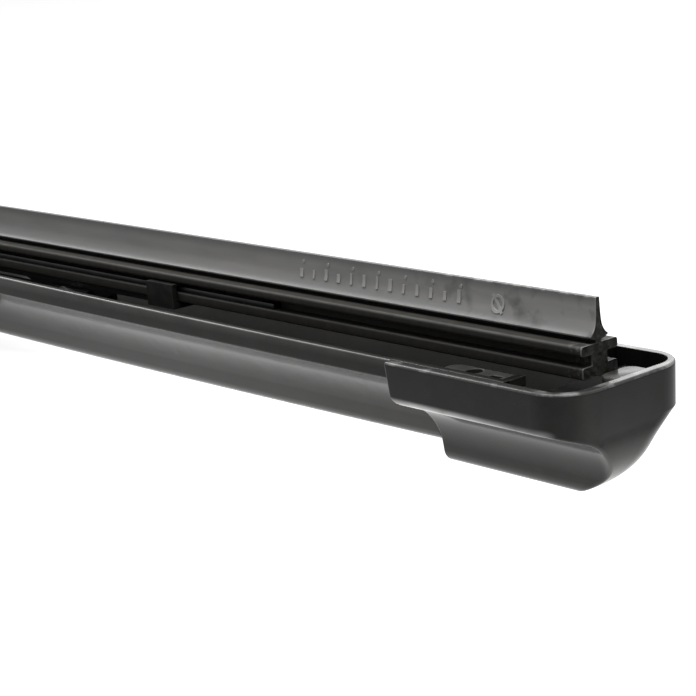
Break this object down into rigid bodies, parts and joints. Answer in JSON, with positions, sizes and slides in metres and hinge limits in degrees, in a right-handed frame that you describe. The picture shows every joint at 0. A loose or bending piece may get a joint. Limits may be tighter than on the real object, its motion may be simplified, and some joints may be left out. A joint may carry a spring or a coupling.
{
  "type": "wiper blade",
  "caption": "Hybrid windscreen wiper blade: a rubber lip in sprung levers under slim concave covers with boxy end caps and a hook adapter.",
  "frame": {"origin": "the middle of the cross pin's axis, where the wiper arm's hook takes hold", "axes": "+X along the blade, +Y across it away from the concave wind side, +Z towards the glass and the rubber lip"},
  "size_m": [0.5608, 0.0268, 0.0306],
  "materials": {
    "rubber": "satin",
    "spring_steel": "satin",
    "black_steel": "satin black",
    "yoke_steel": "satin black",
    "rivet_steel": "plain",
    "cover_plastic": "satin moulded",
    "cap_plastic": "semi-gloss moulded",
    "bush_plastic": "natural",
    "adapter_plastic": "satin"
  },
  "bodies": {
    "frame": {"main_lever": "black_steel", "centre_cover": "cover_plastic", "cross_pin": "rivet_steel", "lever_pin_left": "rivet_steel", "lever_pin_right": "rivet_steel", "wiper_rubber": "rubber", "backing_strip_wind": "spring_steel", "backing_strip_lee": "spring_steel"},
    "adapter": {"hook_adapter": "adapter_plastic"},
    "side_arm_left": {"side_lever_left": "black_steel", "side_cover_left": "cover_plastic", "end_cap_left": "cap_plastic", "lever_bush_left": "bush_plastic", "yoke_pin_left": "rivet_steel"},
    "yoke_left": {"yoke_left": "yoke_steel"},
    "side_arm_right": {"side_lever_right": "black_steel", "side_cover_right": "cover_plastic", "end_cap_right": "cap_plastic", "lever_bush_right": "bush_plastic", "yoke_pin_right": "rivet_steel"},
    "yoke_right": {"yoke_right": "yoke_steel"}
  },
  "joints": [
    {"name": "adapter_swing", "type": "hinge", "parent": "frame", "child": "adapter", "pos_m": [0, 0, 0], "axis": [0, 1, 0], "range_deg": [-20, 20]},
    {"name": "side_arm_left_rock", "type": "hinge", "parent": "frame", "child": "side_arm_left", "pos_m": [-0.1, 0, 0.0057], "axis": [0, 1, 0], "range_deg": [-2, 5], "stiffness_Nm_per_rad": 2, "deforming": ["wiper_rubber", "backing_strip_wind", "backing_strip_lee"]},
    {"name": "yoke_left_rock", "type": "hinge", "parent": "side_arm_left", "child": "yoke_left", "pos_m": [-0.156, 0, 0.0066], "axis": [0, 1, 0], "range_deg": [-0.5, 3], "stiffness_Nm_per_rad": 0.3, "deforming": ["wiper_rubber", "backing_strip_wind", "backing_strip_lee"]},
    {"name": "side_arm_right_rock", "type": "hinge", "parent": "frame", "child": "side_arm_right", "pos_m": [0.1, 0, 0.0057], "axis": [0, -1, 0], "range_deg": [-2, 5], "stiffness_Nm_per_rad": 2, "deforming": ["wiper_rubber", "backing_strip_wind", "backing_strip_lee"]},
    {"name": "yoke_right_rock", "type": "hinge", "parent": "side_arm_right", "child": "yoke_right", "pos_m": [0.156, 0, 0.0066], "axis": [0, -1, 0], "range_deg": [-0.5, 3], "stiffness_Nm_per_rad": 0.3, "deforming": ["wiper_rubber", "backing_strip_wind", "backing_strip_lee"]}
  ]
}
